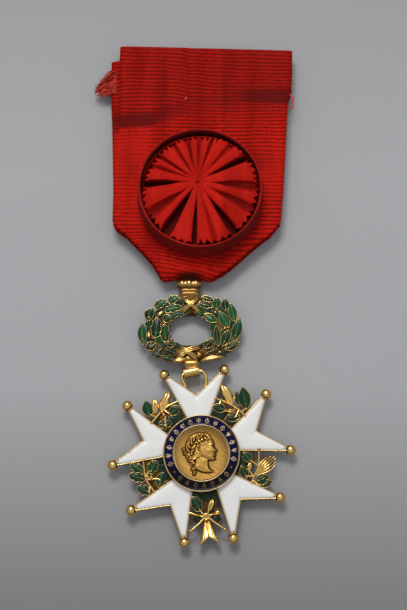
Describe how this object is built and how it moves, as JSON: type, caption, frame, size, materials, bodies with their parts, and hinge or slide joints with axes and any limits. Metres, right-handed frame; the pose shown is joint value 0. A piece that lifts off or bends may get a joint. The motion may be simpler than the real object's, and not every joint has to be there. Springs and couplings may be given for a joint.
{
  "type": "order badge",
  "caption": "Order badge: red ribbon with rosette, green enamelled wreath, white enamelled five-armed star with ball tips and round medallion.",
  "frame": {"origin": "middle of the outer box at the surface that the badge lies on", "axes": "+Y towards the ribbon's top fold, +Z out of the badge's front, +X to the right seen from the front"},
  "size_m": [0.0426, 0.1082, 0.0093],
  "materials": {
    "ribbon_cloth": "ribbed watered silk, scarlet",
    "band_cloth": "plain silk, dull dark red",
    "fan_cloth": "pleated silk with a pinked edge, red",
    "pin_steel": "plain wire and plate",
    "gold": "bright gilt",
    "medal_gold": "gilt with dark patina",
    "green_enamel": "glossy emerald enamel",
    "white_enamel": "glossy white enamel",
    "blue_enamel": "glossy dark blue enamel"
  },
  "bodies": {
    "root": {"ribbon": "ribbon_cloth", "rosette_band": "band_cloth", "rosette_pleats": "fan_cloth", "brooch_pin": "pin_steel", "bail_ring": "gold", "wreath_frame": "gold", "oak_enamel": "green_enamel", "laurel_enamel": "green_enamel", "star_frame": "gold", "arm_enamel_1": "white_enamel", "arm_enamel_2": "white_enamel", "arm_enamel_3": "white_enamel", "arm_enamel_4": "white_enamel", "arm_enamel_5": "white_enamel", "back_enamel": "white_enamel", "sprig_enamel": "green_enamel", "medallion_bezel": "gold", "blue_enamel": "blue_enamel", "ring_ornaments": "gold", "centre_medal": "medal_gold", "back_disc": "gold"}
  },
  "joints": []
}
